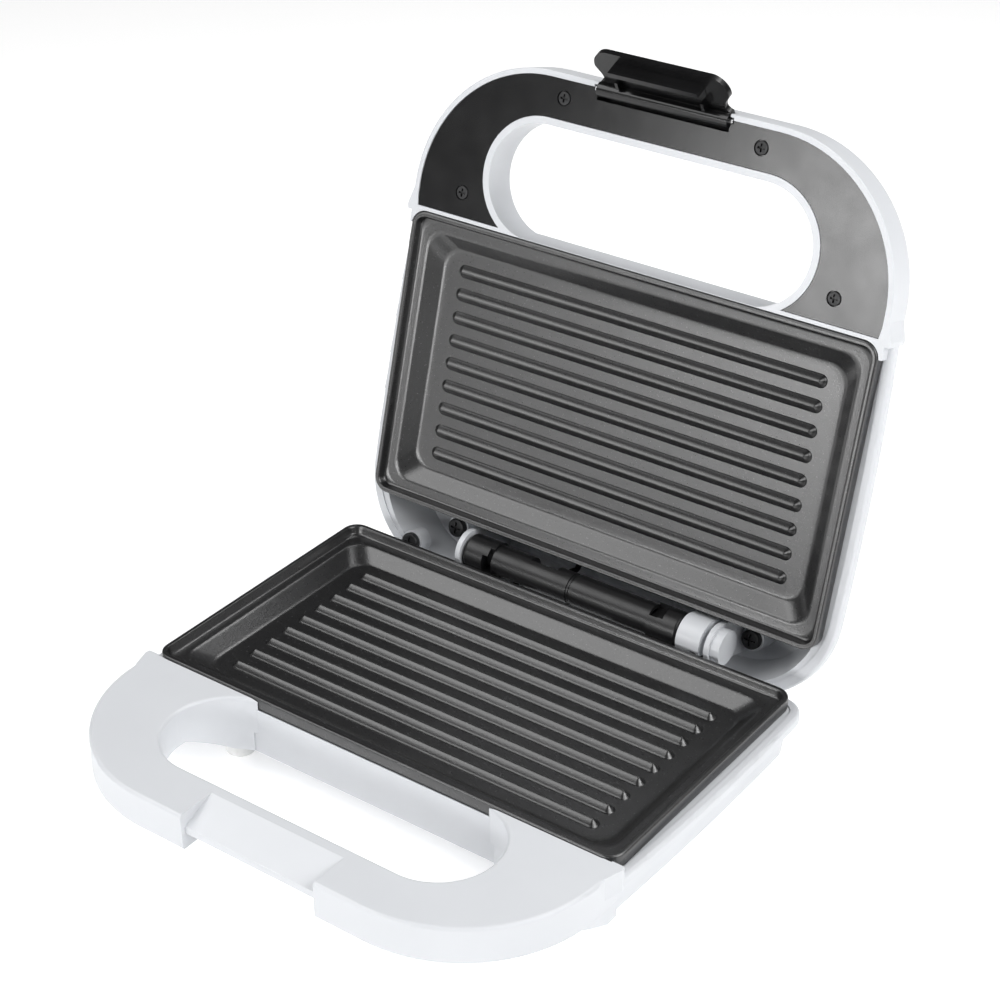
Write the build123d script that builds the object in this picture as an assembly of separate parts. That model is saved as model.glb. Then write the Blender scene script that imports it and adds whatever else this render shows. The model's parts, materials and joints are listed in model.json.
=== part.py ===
from build123d import *
import os

os.makedirs("parts", exist_ok=True)

# A two-slice panini press, lid standing open.
# Everything is drawn in a plate frame first: X to the right, Y towards the hinge with 0 at the
# rear edge of the lower plate, Z up with 0 on top of the lower plate's lip.  The lid is drawn
# closed and then swung open about the hinge line.

# ---------------------------------------------------------------- driving dimensions, mm
PLATE_W = 228.0
PLATE_D = 129.8
PLATE_R = 7.0
FRONT = -PLATE_D
LIP_GAP = 0.5
SKIRT = 6.0
LIP_TOP = 2.2
LIP_FOOT = 3.2
BAND_DROP = 3.95
BAND_IN = 7.9
FLOOR_DROP = 9.45
FLOOR_IN = 14.2
FLOOR_SKIN = 2.3
RIB_COUNT = 9
RIB_PITCH = 10.5
RIB_LENGTH = 182.0
RIB_WIDTH = 5.6
RIB_HEIGHT = 2.5

HINGE_Y = 10.8
HINGE_Z = 0.3
LID_OPEN = 105.3

HANDLE_REACH = 72.3
HANDLE_HALF_W = 115.5
HANDLE_R = 61.0
HANDLE_TOP = -1.0
HANDLE_BOTTOM = -17.3
HOLE_R = 25.0
HOLE_HALF = 53.0
HOLE_NOTCH = 57.5
SKIN = 2.4

FLANGE_TOP = -5.5
FLANGE_BOTTOM = -9.6
WALL_BOTTOM = -26.6
BELLY_BOTTOM = -33.5
FOOT_BOTTOM = -38.0
BASE_REAR = 2.4

LID_FLANGE = 6.0
LID_FLANGE_TOP = 10.5
LID_REAR = 30.4
LID_CORNER = 43.0
LID_SHOULDER = 27.0
LID_TOP = 34.0
LID_HANDLE_BOTTOM = 1.0
LID_HANDLE_TOP = 18.5

PIVOT_Y = FRONT - 69.3
PIVOT_Z = 2.2
LATCH_TILT = 40.0
TONGUE_TOP = -7.3
TONGUE_BOTTOM = -10.3

# where the plate frame stands in the finished frame
REAR_EDGE_Y = 59.24
LIP_Z = 38.0


# ---------------------------------------------------------------- placing and saving
def open_lid(shape):
    """Swing a closed-lid shape to the open rest pose."""
    to_axis = Pos(0, HINGE_Y, HINGE_Z)
    back = Pos(0, -HINGE_Y, -HINGE_Z)
    return to_axis * Rot(-LID_OPEN, 0, 0) * back * shape


def save(name, shape):
    export_step(Pos(0, REAR_EDGE_Y, LIP_Z) * shape, "parts/" + name + ".step")


def save_lid(name, shape):
    save(name, open_lid(shape))


def flip(shape):
    """Mirror a lower shape about the parting plane to make its upper twin."""
    return mirror(shape, about=Plane.XY.offset(LIP_GAP / 2))


# ---------------------------------------------------------------- plain building blocks
def box(x0, x1, y0, y1, z0, z1):
    centre = Pos((x0 + x1) / 2, (y0 + y1) / 2, (z0 + z1) / 2)
    return centre * Box(abs(x1 - x0), abs(y1 - y0), abs(z1 - z0))


def rod(x, y, z0, z1, radius):
    return Pos(x, y, (z0 + z1) / 2) * Cylinder(radius, abs(z1 - z0))


def bar(x0, x1, y, z, radius):
    """A round bar along X."""
    return Pos((x0 + x1) / 2, y, z) * Rot(0, 90, 0) * Cylinder(radius, abs(x1 - x0))


def prism(sketch, z0, z1):
    return Pos(0, 0, z0) * extrude(sketch, amount=z1 - z0)


def side_prism(points, x0, x1):
    """A (y, z) polygon drawn out along X."""
    face = Plane.YZ * make_face(Polyline(*points, close=True))
    return Pos(x0, 0, 0) * extrude(face, amount=x1 - x0, dir=(1, 0, 0))


def between(low, z0, high, z1):
    return loft([Pos(0, 0, z0) * low, Pos(0, 0, z1) * high])


def tube_path(points, radius, bend):
    """A round wire along a polyline with rounded corners."""
    path = Polyline(*points)
    if len(points) > 2:
        path = FilletPolyline(*points, radius=bend)
    plane = Plane(path @ 0, z_dir=path % 0)
    return sweep(plane * Circle(radius), path=path)


def crowned(front_y, rear_y, x_front, x_mid, x_rear, rear_r):
    """A four-sided outline whose left and right sides bow outwards."""
    mid = (front_y + rear_y) / 2
    edges = [
        ThreePointArc((x_front, front_y), (x_mid, mid), (x_rear, rear_y)),
        Line((x_rear, rear_y), (-x_rear, rear_y)),
        ThreePointArc((-x_rear, rear_y), (-x_mid, mid), (-x_front, front_y)),
        Line((-x_front, front_y), (x_front, front_y)),
    ]
    face = make_face(edges)
    corners = face.vertices().sort_by(Axis.Y)[-2:]
    return fillet(corners, rear_r)


def plate_outline(inset):
    radius = max(PLATE_R - inset, 1.5)
    sketch = RectangleRounded(PLATE_W - 2 * inset, PLATE_D - 2 * inset, radius)
    return Pos(0, -PLATE_D / 2) * sketch


def floor_outline(inset):
    sketch = RectangleRounded(PLATE_W - 2 * inset, PLATE_D - 2 * inset, 9.0)
    return Pos(0, -PLATE_D / 2) * sketch


def handle_outline(inset, rear_y):
    """The handle's outer contour from its straight front round to the given rear line."""
    radius = HANDLE_R - inset
    half = HANDLE_HALF_W - inset
    front = FRONT - HANDLE_REACH + inset
    straight = half - radius
    side = front + radius
    slant = radius * 0.70710678
    edges = [
        Line((-straight, front), (straight, front)),
        ThreePointArc((straight, front), (straight + slant, side - slant), (half, side)),
        Line((half, side), (half, rear_y)),
        Line((half, rear_y), (-half, rear_y)),
        Line((-half, rear_y), (-half, side)),
        ThreePointArc((-half, side), (-straight - slant, side - slant), (-straight, front)),
    ]
    return make_face(edges)


def finger_hole(grow):
    """The stadium-shaped finger hole, wider by grow on every side."""
    width = 2 * (HOLE_HALF + HOLE_R + grow)
    height = 2 * (HOLE_R + grow)
    return Pos(0, FRONT - HOLE_R) * RectangleRounded(width, height, HOLE_R + grow - 0.01)


def rounded_finger_hole(face_z, radius):
    """A cutter for the finger hole that rounds its rim at the handle's upper face."""
    cutter = prism(finger_hole(0), face_z - 60, face_z + 0.1)
    cutter += prism(finger_hole(radius + 1.0), face_z, face_z + 8)
    step = cutter.faces().filter_by(Axis.Z).sort_by(Axis.Z)[1]
    return fillet(step.inner_wires()[0].edges(), radius)


def pan_screw(x, y, seat, down, head_r, head_h, shank_r, shank):
    """A cross-head screw, its head above the seat; down=-1 turns it over."""
    head = rod(x, y, seat, seat + down * head_h, head_r)
    crown = head.faces().sort_by(Axis.Z)[-1 if down > 0 else 0]
    head = fillet(crown.edges(), head_h * 0.35)
    top = seat + down * head_h
    slot_a = box(x - head_r * 0.6, x + head_r * 0.6, y - 0.45, y + 0.45, top - down * 1.0, top + down)
    slot_b = box(x - 0.45, x + 0.45, y - head_r * 0.6, y + head_r * 0.6, top - down * 1.0, top + down)
    return head + rod(x, y, seat, seat - down * shank, shank_r) - slot_a - slot_b


# ---------------------------------------------------------------- grill plates and heating
PLATE_SCREWS = [(-52.0, FRONT + 40.0), (52.0, FRONT + 40.0), (-52.0, -40.0), (52.0, -40.0)]
UNDERSIDE = -FLOOR_DROP - FLOOR_SKIN


def grill_plate():
    rim = prism(plate_outline(0), -SKIRT, 0)
    rim = fillet(rim.faces().sort_by(Axis.Z)[-1].edges(), 0.7)
    pan = between(floor_outline(FLOOR_IN - 2.5), UNDERSIDE, floor_outline(BAND_IN - 2.5), -SKIRT)
    plate = rim + pan
    plate -= between(plate_outline(LIP_FOOT), -BAND_DROP, plate_outline(LIP_TOP), 0.01)
    plate -= between(floor_outline(FLOOR_IN), -FLOOR_DROP, floor_outline(BAND_IN), -BAND_DROP + 0.01)
    for number in range(RIB_COUNT):
        y = -PLATE_D / 2 + (number - (RIB_COUNT - 1) / 2) * RIB_PITCH
        plate += grill_rib(y)
    for x, y in PLATE_SCREWS:
        plate += rod(x, y, UNDERSIDE - 6.0, UNDERSIDE + 0.5, 4.0)
        plate -= rod(x, y, UNDERSIDE - 6.1, UNDERSIDE - 0.3, 1.45)
    return plate


def grill_rib(y):
    sketch = Pos(0, y) * RectangleRounded(RIB_LENGTH, RIB_WIDTH, RIB_WIDTH / 2 - 0.01)
    rib = prism(sketch, -FLOOR_DROP - 0.2, -FLOOR_DROP + RIB_HEIGHT)
    return fillet(rib.faces().sort_by(Axis.Z)[-1].edges(), 1.6)


ELEMENT_Z = UNDERSIDE - 3.5


def heating_element():
    """A tubular element bent to a U, its cold ends turned down near the right rear corner."""
    rear = -26.0
    front = FRONT + 26.0
    points = [
        (84.0, rear, ELEMENT_Z - 4.0),
        (84.0, rear, ELEMENT_Z),
        (-84.0, rear, ELEMENT_Z),
        (-84.0, front, ELEMENT_Z),
        (84.0, front, ELEMENT_Z),
        (84.0, front, ELEMENT_Z - 4.0),
    ]
    flat = FilletPolyline(*points[1:5], radius=16.0)
    loop = sweep(Plane(flat @ 0, z_dir=flat % 0) * Circle(3.2), path=flat)
    ends = rod(84.0, rear, ELEMENT_Z - 4.6, ELEMENT_Z, 3.2) + rod(84.0, front, ELEMENT_Z - 4.6, ELEMENT_Z, 3.2)
    ends += Pos(84.0, rear, ELEMENT_Z) * Sphere(3.2)
    ends += Pos(84.0, front, ELEMENT_Z) * Sphere(3.2)
    return loop + ends


REFLECTOR_Z = UNDERSIDE - 7.0


def reflector():
    """A thin dished sheet under the element, held by the plate's four screws."""
    sheet = prism(floor_outline(20.0), REFLECTOR_Z - 0.8, REFLECTOR_Z)
    lip = prism(floor_outline(20.0), REFLECTOR_Z - 0.8, REFLECTOR_Z + 3.0)
    lip -= prism(floor_outline(20.8), REFLECTOR_Z - 1.0, REFLECTOR_Z + 3.1)
    sheet += lip
    for x, y in PLATE_SCREWS:
        sheet += rod(x, y, REFLECTOR_Z - 0.8, UNDERSIDE - 6.0, 5.5)
        sheet -= rod(x, y, REFLECTOR_Z - 1.0, UNDERSIDE - 5.9, 1.8)
    for y in (-26.0, FRONT + 26.0):
        sheet -= rod(84.0, y, REFLECTOR_Z - 2.0, REFLECTOR_Z + 4.0, 4.6)
    return sheet


def plate_screws():
    screws = []
    for x, y in PLATE_SCREWS:
        screws.append(pan_screw(x, y, REFLECTOR_Z - 0.8, -1, 3.2, 1.6, 1.4, 6.0))
    return Compound(children=screws)


# ---------------------------------------------------------------- base housing
FEET = [(-76.4, FRONT + 8.0), (76.4, FRONT + 8.0), (-76.4, -14.0), (76.4, -14.0)]
COVER_SCREWS = [(-78.0, FRONT + 40.0), (78.0, FRONT + 40.0), (-78.0, FRONT + 92.0), (78.0, FRONT + 92.0)]
BRACKET_SCREWS = [(-50.0, -9.4), (-28.0, -9.4), (50.0, -9.4), (28.0, -9.4)]
INLET_X = 84.0
INLET_Z = -18.0


def base_flange(inset):
    return crowned(FRONT - 0.5 + inset, BASE_REAR - inset, 117.6 - inset, 120.4 - inset, 119.4 - inset, 10.5 - inset)


def base_wall(inset):
    return crowned(FRONT - 0.5 + inset, BASE_REAR - inset, 113.4 - inset, 115.6 - inset, 115.0 - inset, 12.0 - inset * 0.5)


def base_wall_foot(inset):
    return crowned(FRONT - 0.5 + inset, BASE_REAR - inset, 111.6 - inset, 113.6 - inset, 113.0 - inset, 12.0 - inset * 0.5)


def base_body():
    flange = prism(base_flange(0), FLANGE_BOTTOM, FLANGE_TOP)
    flange = fillet(flange.faces().sort_by(Axis.Z)[-1].edges(), 1.3)
    wall = between(base_wall(0), FLANGE_BOTTOM + 0.2, base_wall_foot(0), WALL_BOTTOM)
    belly = between(base_wall_foot(0), WALL_BOTTOM, base_wall_foot(14.0), BELLY_BOTTOM)
    hollow = between(base_wall(3.0), -SKIRT, base_wall_foot(2.6), WALL_BOTTOM)
    hollow += between(base_wall_foot(2.6), WALL_BOTTOM, base_wall_foot(16.0), BELLY_BOTTOM + 2.6)
    seat = prism(base_flange(3.8), -SKIRT, 0)
    return flange + wall + belly - hollow - seat


def handle_root(side):
    """The deeper part where the handle runs into the base."""
    points = [
        (FRONT - 24.0, HANDLE_BOTTOM + 1.0),
        (FRONT - 4.5, WALL_BOTTOM + 0.2),
        (FRONT + 1.5, WALL_BOTTOM + 0.2),
        (FRONT + 1.5, HANDLE_BOTTOM + 1.0),
    ]
    block = side_prism(points, 60.0, 116.0) if side > 0 else side_prism(points, -116.0, -60.0)
    return block & prism(handle_outline(1.5, FRONT + 3.0), WALL_BOTTOM, -10.0)


def handle_hollow(inset, z0, z1):
    """The channel inside the handle, kept clear of the latch recess and of the root."""
    ring = prism(handle_outline(inset, FRONT), z0, z1)
    ring -= box(-120, 120, FRONT - 21.5 - inset, FRONT + 1, z0 - 1, z1 + 1)
    ring -= prism(finger_hole(inset), z0 - 1, z1 + 1)
    ring -= box(-34.6, 34.6, FRONT - 75, FRONT - 40, z0 - 1, z1 + 1)
    return ring


def base_handle():
    ring = prism(handle_outline(0, FRONT + 0.0), HANDLE_BOTTOM, HANDLE_TOP)
    edges = ring.faces().sort_by(Axis.Z)[-1].edges() + ring.faces().sort_by(Axis.Z)[0].edges()
    outer = [e for e in edges if e.center().Y < FRONT - 1.0]
    ring = fillet(outer, 1.5)
    ring -= handle_hollow(2.5, HANDLE_BOTTOM - 0.1, HANDLE_TOP - SKIN)
    root = handle_root(1) + handle_root(-1)
    ears = handle_ears(HANDLE_BOTTOM + 6.0, HANDLE_TOP)
    return ring + root + ears


def handle_ears(z0, z1):
    """The small pointed shoulders where the handle meets the flange."""
    ears = None
    for side in (-1, 1):
        points = [
            (side * 114.0, FRONT - 12.0),
            (side * 115.5, FRONT - 9.0),
            (side * 117.8, FRONT - 1.4),
            (side * 117.4, FRONT + 0.6),
            (side * 112.0, FRONT + 0.6),
        ]
        ear = prism(make_face(Polyline(*points, close=True)), z0, z1)
        ears = ear if ears is None else ears + ear
    return ears


def latch_recess():
    """The cut in the handle's front that takes the latch and leaves a tongue for its hook."""
    lip = FRONT - 70.3
    front = FRONT - 74.0
    upper = side_prism(
        [(FRONT - 55.0, HANDLE_TOP + 0.01), (lip, TONGUE_TOP), (front, TONGUE_TOP), (front, HANDLE_TOP + 0.01)],
        -32.2,
        32.2,
    )
    face = box(-32.2, 32.2, front, lip, HANDLE_BOTTOM - 1, HANDLE_TOP)
    under = box(-32.2, 32.2, lip - 0.01, FRONT - 62.5, HANDLE_BOTTOM - 1, TONGUE_BOTTOM)
    return upper + face + under


def base_housing():
    body = base_body()
    handle = base_handle()
    handle -= prism(base_wall(1.0), WALL_BOTTOM - 1, 0)
    shell = body + handle
    shell -= rounded_finger_hole(HANDLE_TOP, 1.3) - prism(base_flange(0), -70, FLANGE_TOP)
    shell -= box(-HOLE_NOTCH, HOLE_NOTCH, FRONT - 0.6, FRONT + 0.5, FLANGE_TOP, 1)
    shell -= latch_recess()
    shell -= prism(plate_outline(-0.25), -SKIRT, 5)
    for x, y in COVER_SCREWS:
        shell += rod(x, y, BELLY_BOTTOM + 2.0, BELLY_BOTTOM + 8.0, 4.2)
    opening = Pos(0, FRONT + 66.0) * RectangleRounded(141.0, 65.0, 6.0)
    shell -= prism(opening, BELLY_BOTTOM - 1, BELLY_BOTTOM + 4)
    rebate = Pos(0, FRONT + 66.0) * RectangleRounded(171.0, 73.0, 8.0)
    shell -= prism(rebate, BELLY_BOTTOM - 1, BELLY_BOTTOM + 1.6)
    for x, y in COVER_SCREWS:
        shell -= rod(x, y, BELLY_BOTTOM - 1, BELLY_BOTTOM + 7.0, 1.4)
    for x, y in FEET:
        shell -= rod(x, y, FOOT_BOTTOM - 1, BELLY_BOTTOM + 3.4, 6.6)
        shell += rod(x, y, BELLY_BOTTOM + 3.4, BELLY_BOTTOM + 6.0, 8.0)
        shell -= rod(x, y, BELLY_BOTTOM + 3.0, BELLY_BOTTOM + 7.0, 2.05)
    for x, z in BRACKET_SCREWS:
        shell -= Pos(x, BASE_REAR, z) * Rot(90, 0, 0) * Cylinder(1.5, 12)
    shell -= Pos(INLET_X, BASE_REAR, INLET_Z) * Rot(90, 0, 0) * Cylinder(6.5, 12)
    shell -= box(-37.0, -24.0, BASE_REAR - 6, BASE_REAR + 2, -15.0, -11.8)
    for x, y in HANDLE_SCREWS:
        shell += rod(x, y, HANDLE_BOTTOM + 2.4, HANDLE_TOP - SKIN + 0.5, 3.4)
        shell -= rod(x, y, HANDLE_BOTTOM + 2.0, HANDLE_BOTTOM + 9.0, 1.4)
    return shell


HANDLE_SCREWS = [(-98.0, FRONT - 33.0), (98.0, FRONT - 33.0), (-46.0, FRONT - 61.2), (46.0, FRONT - 61.2)]


def base_handle_cover():
    """The panel that closes the handle's channel from below, with its screw holes."""
    panel = handle_hollow(2.7, HANDLE_BOTTOM + 0.3, HANDLE_BOTTOM + 2.3)
    for x, y in HANDLE_SCREWS:
        panel -= rod(x, y, HANDLE_BOTTOM, HANDLE_BOTTOM + 3.0, 1.6)
        panel -= rod(x, y, HANDLE_BOTTOM, HANDLE_BOTTOM + 1.3, 3.2)
    return panel


def base_handle_screws():
    screws = []
    for x, y in HANDLE_SCREWS:
        screws.append(pan_screw(x, y, HANDLE_BOTTOM + 1.3, -1, 2.9, 1.2, 1.3, 7.0))
    return Compound(children=screws)


def base_bottom_cover():
    sketch = Pos(0, FRONT + 66.0) * RectangleRounded(170.4, 72.4, 7.7)
    panel = prism(sketch, BELLY_BOTTOM + 0.2, BELLY_BOTTOM + 1.6)
    inner = Pos(0, FRONT + 66.0) * RectangleRounded(140.4, 64.4, 5.7)
    panel += prism(inner, BELLY_BOTTOM + 1.4, BELLY_BOTTOM + 3.0)
    for number in range(7):
        x = -48.0 + number * 16.0
        slot = Pos(x, FRONT + 66.0) * RectangleRounded(4.0, 40.0, 1.9)
        panel -= prism(slot, BELLY_BOTTOM - 1, BELLY_BOTTOM + 4)
    for x, y in COVER_SCREWS:
        panel -= rod(x, y, BELLY_BOTTOM, BELLY_BOTTOM + 3, 1.8)
    return panel


def base_cover_screws():
    screws = []
    for x, y in COVER_SCREWS:
        screws.append(pan_screw(x, y, BELLY_BOTTOM + 0.2, -1, 3.2, 1.4, 1.35, 6.5))
    return Compound(children=screws)


def feet():
    pads = []
    for x, y in FEET:
        pad = rod(x, y, FOOT_BOTTOM, BELLY_BOTTOM + 3.4, 6.5)
        pad = fillet(pad.faces().sort_by(Axis.Z)[0].edges(), 1.2)
        pad += rod(x, y, BELLY_BOTTOM + 3.0, BELLY_BOTTOM + 6.0, 2.0)
        pads.append(pad)
    return Compound(children=pads)


# ---------------------------------------------------------------- parts inside the base
def thermostat():
    body = rod(20.0, FRONT + 64.0, UNDERSIDE - 4.6, UNDERSIDE - 0.4, 8.0)
    body += box(12.0, 28.0, FRONT + 60.0, FRONT + 68.0, UNDERSIDE - 1.4, UNDERSIDE - 0.4)
    body += box(9.0, 12.5, FRONT + 62.0, FRONT + 66.0, UNDERSIDE - 4.4, UNDERSIDE - 3.6)
    body += box(27.5, 31.0, FRONT + 62.0, FRONT + 66.0, UNDERSIDE - 4.4, UNDERSIDE - 3.6)
    return body


def thermal_fuse():
    tube = Pos(-24.0, FRONT + 64.0, UNDERSIDE - 3.0) * Rot(0, 90, 0) * Cylinder(2.2, 22.0)
    leads = Pos(-24.0, FRONT + 64.0, UNDERSIDE - 3.0) * Rot(0, 90, 0) * Cylinder(0.6, 38.0)
    clip = box(-26.5, -21.5, FRONT + 59.0, FRONT + 69.0, UNDERSIDE - 0.8, UNDERSIDE - 0.4)
    return tube + leads + clip


def terminal_block():
    block = box(38.0, 66.0, FRONT + 100.0, FRONT + 112.0, BELLY_BOTTOM + 2.6, BELLY_BOTTOM + 9.6)
    for number in range(3):
        x = 42.7 + number * 9.3
        block -= rod(x, FRONT + 106.0, BELLY_BOTTOM + 6.0, BELLY_BOTTOM + 10.0, 2.2)
        block += rod(x, FRONT + 106.0, BELLY_BOTTOM + 5.6, BELLY_BOTTOM + 8.6, 1.7)
    return block


def base_wiring():
    """Two leads from the terminal block to the thermostat side and up into the hinge barrel."""
    z = BELLY_BOTTOM + 6.0
    to_hinge = tube_path(
        [
            (46.0, FRONT + 113.0, z),
            (46.0, -10.5, z),
            (-30.5, -10.5, z),
            (-30.5, -10.5, -13.4),
            (-30.5, 7.6, -13.4),
            (-30.5, HINGE_Y - 0.6, -4.0),
        ],
        1.3,
        2.2,
    )
    to_fuse = tube_path(
        [(58.0, FRONT + 99.0, z), (58.0, FRONT + 84.0, z), (34.0, FRONT + 84.0, z), (34.0, FRONT + 72.0, z)],
        1.3,
        2.2,
    )
    return Compound(children=[to_hinge, to_fuse])


def cord_inlet_bush():
    """The bush in the rear wall that the mains lead would pass through."""
    bush = Pos(INLET_X, BASE_REAR - 1.5, INLET_Z) * Rot(90, 0, 0) * Cylinder(6.4, 7.0)
    bush += Pos(INLET_X, BASE_REAR + 1.6, INLET_Z) * Rot(90, 0, 0) * Cylinder(8.2, 3.0)
    bush -= Pos(INLET_X, BASE_REAR, INLET_Z) * Rot(90, 0, 0) * Cylinder(3.5, 14.0)
    return bush


# ---------------------------------------------------------------- hinge
BARREL_R = 7.0
BARREL_BORE = 5.2
COLLAR_R = 8.0
COLLAR_IN = 40.3
COLLAR_OUT = 55.2
PIN_R = 2.5
LEFT_PIN_END = 59.4
RIGHT_PIN_END = 65.6


def hinge_barrel(side):
    """Half of the black wire tube on the hinge line, with its step at the seam."""
    x0 = min(side * 0.15, side * COLLAR_IN)
    x1 = max(side * 0.15, side * COLLAR_IN)
    tube = bar(x0, x1, HINGE_Y, HINGE_Z, BARREL_R)
    tube -= bar(min(side * 0.15, side * 1.2), max(side * 0.15, side * 1.2), HINGE_Y, HINGE_Z, BARREL_R + 1) - bar(
        min(0, side * 2), max(0, side * 2), HINGE_Y, HINGE_Z, BARREL_R - 0.5
    )
    tube -= bar(x0 - 1, x1 + 1, HINGE_Y, HINGE_Z, BARREL_BORE)
    if side < 0:
        tube -= box(-37.0, -24.0, HINGE_Y - 6.0, HINGE_Y + 1.6, HINGE_Z - 9, HINGE_Z - 1.0)
        tube -= box(-23.0, -9.0, HINGE_Y - 0.8, HINGE_Y + 9, HINGE_Z - 5.6, HINGE_Z + 9)
    return tube


def hinge_bracket(side):
    """The collar that carries the pin and the foot that screws to the base's rear wall."""
    x0 = min(side * COLLAR_IN, side * COLLAR_OUT)
    x1 = max(side * COLLAR_IN, side * COLLAR_OUT)
    collar = bar(x0, x1, HINGE_Y, HINGE_Z, COLLAR_R)
    end = collar.faces().sort_by(Axis.X)[-1 if side > 0 else 0]
    collar = fillet(end.edges(), 1.6)
    foot_in = side * 22.0
    arm = side_prism([(BASE_REAR, -12.0), (BASE_REAR, -3.6), (6.0, -3.0), (14.0, -6.0), (9.0, -12.0)], x0, x1)
    foot = box(foot_in, side * COLLAR_OUT, BASE_REAR, BASE_REAR + 2.6, -12.0, -5.0)
    bracket = collar + arm + foot
    bracket -= bar(x0 - 1, x1 + 1, HINGE_Y, HINGE_Z, PIN_R)
    if side < 0:
        notch = box(x1 - 4.5, x1 + 0.1, HINGE_Y - 9, HINGE_Y - 3.4, HINGE_Z - 3.2, HINGE_Z + 4.6)
        step = box(x1 - 2.0, x1 + 0.1, HINGE_Y - 9, HINGE_Y - 3.4, HINGE_Z - 3.2, HINGE_Z + 7.2)
    else:
        notch = box(x0 - 0.1, x0 + 4.5, HINGE_Y - 5.5, HINGE_Y + 4, HINGE_Z + 4.0, HINGE_Z + 9)
        step = box(x0 + 4.4, x0 + 7.0, HINGE_Y - 5.5, HINGE_Y + 4, HINGE_Z + 6.0, HINGE_Z + 9)
    bracket -= notch
    bracket -= step
    for x, z in BRACKET_SCREWS:
        bracket -= Pos(x, BASE_REAR + 2, z) * Rot(90, 0, 0) * Cylinder(1.5, 30)
    return bracket


def hinge_pins():
    left = bar(-LEFT_PIN_END, -43.0, HINGE_Y, HINGE_Z, PIN_R)
    right = bar(43.0, RIGHT_PIN_END, HINGE_Y, HINGE_Z, PIN_R)
    return Compound(children=[left, right])


def hinge_bracket_screws():
    """Screws put in from inside the base, their heads against the rear wall."""
    screws = []
    inner = BASE_REAR - 3.1
    for x, z in BRACKET_SCREWS:
        head = Pos(x, inner - 0.9, z) * Rot(90, 0, 0) * Cylinder(3.0, 1.8)
        shank = Pos(x, inner + 3.0, z) * Rot(90, 0, 0) * Cylinder(1.45, 6.2)
        screws.append(head + shank)
    return Compound(children=screws)


# ---------------------------------------------------------------- lid housing
# x, y, the seat of the head and the top of the post it goes into
LID_SCREWS = [
    (-77.2, 10.8, 20.0, 32.6),
    (77.2, 10.8, 20.0, 32.6),
    (-91.2, 19.7, 5.0, 12.5),
    (63.5, 19.7, 5.0, 27.0),
]
LAMP_Y = FRONT + 34.0
LAMPS = [(-11.0, LAMP_Y), (11.0, LAMP_Y)]
KNUCKLE_IN = 56.0
KNUCKLE_OUT = 67.2
LEFT_WEB_OUT = 58.4
CHEEK_IN = 69.6
CHEEK_OUT = 76.0
CHEEK_R = 7.6
KNUCKLE_R = 8.9


def lid_outline(inset, rear_in):
    """Lid contour: bowed sides and broad rear corners."""
    return crowned(
        FRONT - 0.5 + inset, LID_REAR - rear_in, 117.6 - inset, 120.0 - inset, 117.6 - inset, LID_CORNER - inset * 0.6
    )


def lid_dome():
    flange = prism(lid_outline(0, 0), LID_FLANGE, LID_FLANGE_TOP)
    flange = fillet(flange.faces().sort_by(Axis.Z)[0].edges(), 1.3)
    lower = between(lid_outline(1.0, 1.0), LID_FLANGE_TOP - 0.3, lid_outline(14.0, 5.0), LID_SHOULDER)
    upper = between(lid_outline(14.0, 5.0), LID_SHOULDER, lid_outline(24.0, 13.0), LID_TOP)
    hollow = between(lid_outline(7.0, 4.0), LID_FLANGE - 1, lid_outline(16.6, 7.8), LID_SHOULDER - 0.6)
    hollow += prism(lid_outline(3.8, 3.8), LID_FLANGE - 1, LIP_GAP + SKIRT)
    hollow += between(lid_outline(16.6, 7.8), LID_SHOULDER - 0.61, lid_outline(26.0, 15.6), LID_TOP - SKIN)
    return flange + lower + upper - hollow


def lid_handle():
    ring = prism(handle_outline(0, FRONT + 6.0), LID_HANDLE_BOTTOM, LID_HANDLE_TOP)
    edges = ring.faces().sort_by(Axis.Z)[-1].edges()
    outer = [e for e in edges if e.center().Y < FRONT - 1.0]
    ring = fillet(outer, 4.0)
    low = ring.faces().sort_by(Axis.Z)[0].edges()
    ring = fillet([e for e in low if e.center().Y < FRONT - 1.0], 0.5)
    channel = prism(handle_outline(2.4, FRONT - 1.9), LID_HANDLE_BOTTOM - 0.1, LID_HANDLE_TOP - 2.6)
    channel -= prism(finger_hole(3.0), 0, 30)
    ring -= channel
    ring += handle_ears(LID_HANDLE_BOTTOM, LID_HANDLE_TOP - 4)
    return ring


def hinge_web(x0, x1):
    """A wall from the lid's roof down to the hinge line, rounded at the bottom."""
    web = bar(x0, x1, HINGE_Y, HINGE_Z, KNUCKLE_R)
    upright = box(x0, x1, HINGE_Y - KNUCKLE_R, HINGE_Y + KNUCKLE_R, LID_FLANGE + 1, LID_TOP)
    web += box(x0, x1, HINGE_Y - KNUCKLE_R, HINGE_Y + KNUCKLE_R, HINGE_Z, LID_FLANGE + 2)
    return web + (upright & lid_envelope())


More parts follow.
